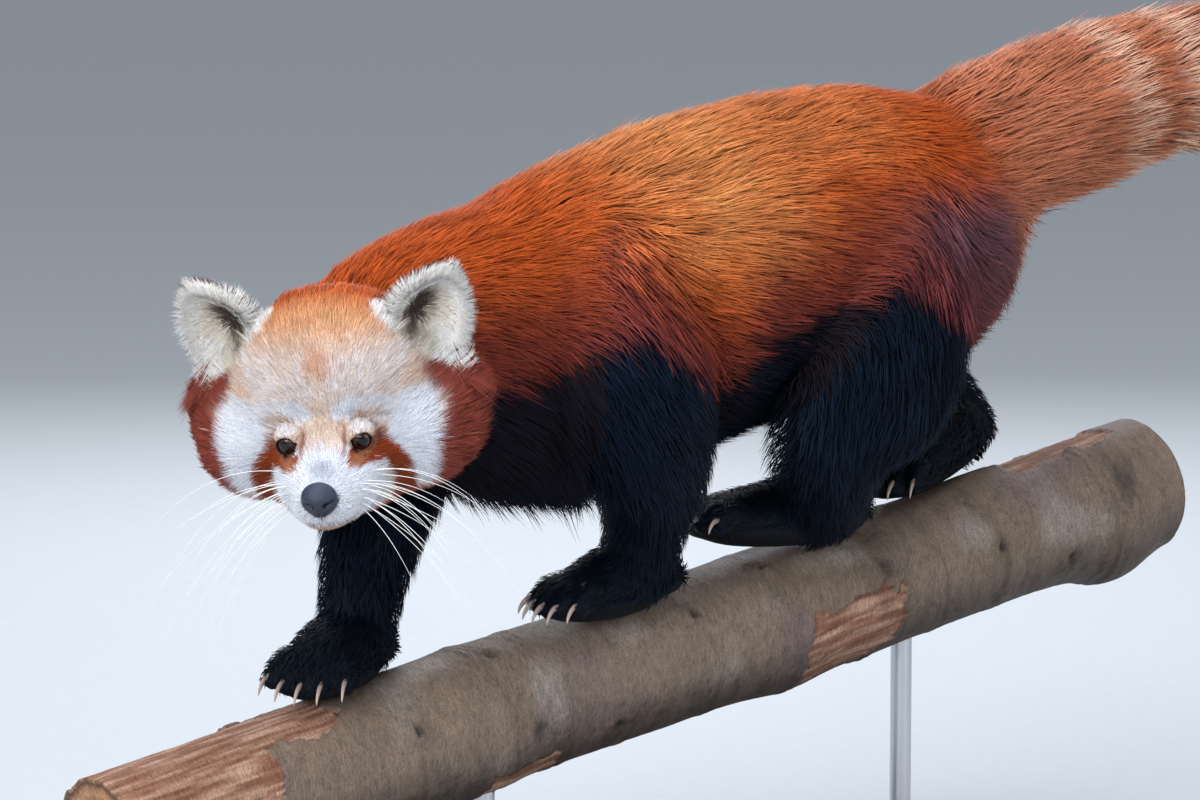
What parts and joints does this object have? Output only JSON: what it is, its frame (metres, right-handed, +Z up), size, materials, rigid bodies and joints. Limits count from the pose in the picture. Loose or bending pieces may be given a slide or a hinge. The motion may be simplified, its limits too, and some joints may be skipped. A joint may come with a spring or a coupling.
{
  "type": "red panda model",
  "caption": "Life-size red panda walking down a cut length of branch, head low and turned to its left, tail raised behind, held on two rods over a flat base.",
  "frame": {"origin": "on the floor, at the underside of the base, on the line of the animal's mid-plane and below its chest", "axes": "+Z up, the animal walks towards -Y and its tail points to +Y, +X to the animal's left"},
  "size_m": [0.3, 1.1625, 0.5865],
  "materials": {
    "coat_red": "long rust-red fur",
    "coat_black": "black fur with pale horn claws",
    "coat_white": "short white and buff fur",
    "eye": "polished dark brown",
    "nose": "moist charcoal skin",
    "bark": "wrinkled bark with peeled patches",
    "base": "matte charcoal",
    "rod": "brushed"
  },
  "bodies": {
    "root": {"head": "coat_white", "ear_left": "coat_white", "ear_right": "coat_white", "eye_left": "eye", "eye_right": "eye", "nose": "nose", "neck": "coat_red", "torso": "coat_red", "tail_root": "coat_red", "tail_mid": "coat_red", "tail_tip": "coat_red", "foreleg_left": "coat_black", "foreleg_right": "coat_black", "hindleg_left": "coat_black", "hindleg_right": "coat_black", "forepaw_left": "coat_black", "forepaw_right": "coat_black", "hindfoot_left": "coat_black", "hindfoot_right": "coat_black", "perch": "bark", "stand_base": "base", "stand_rod_front": "rod", "stand_rod_rear": "rod"}
  },
  "joints": []
}
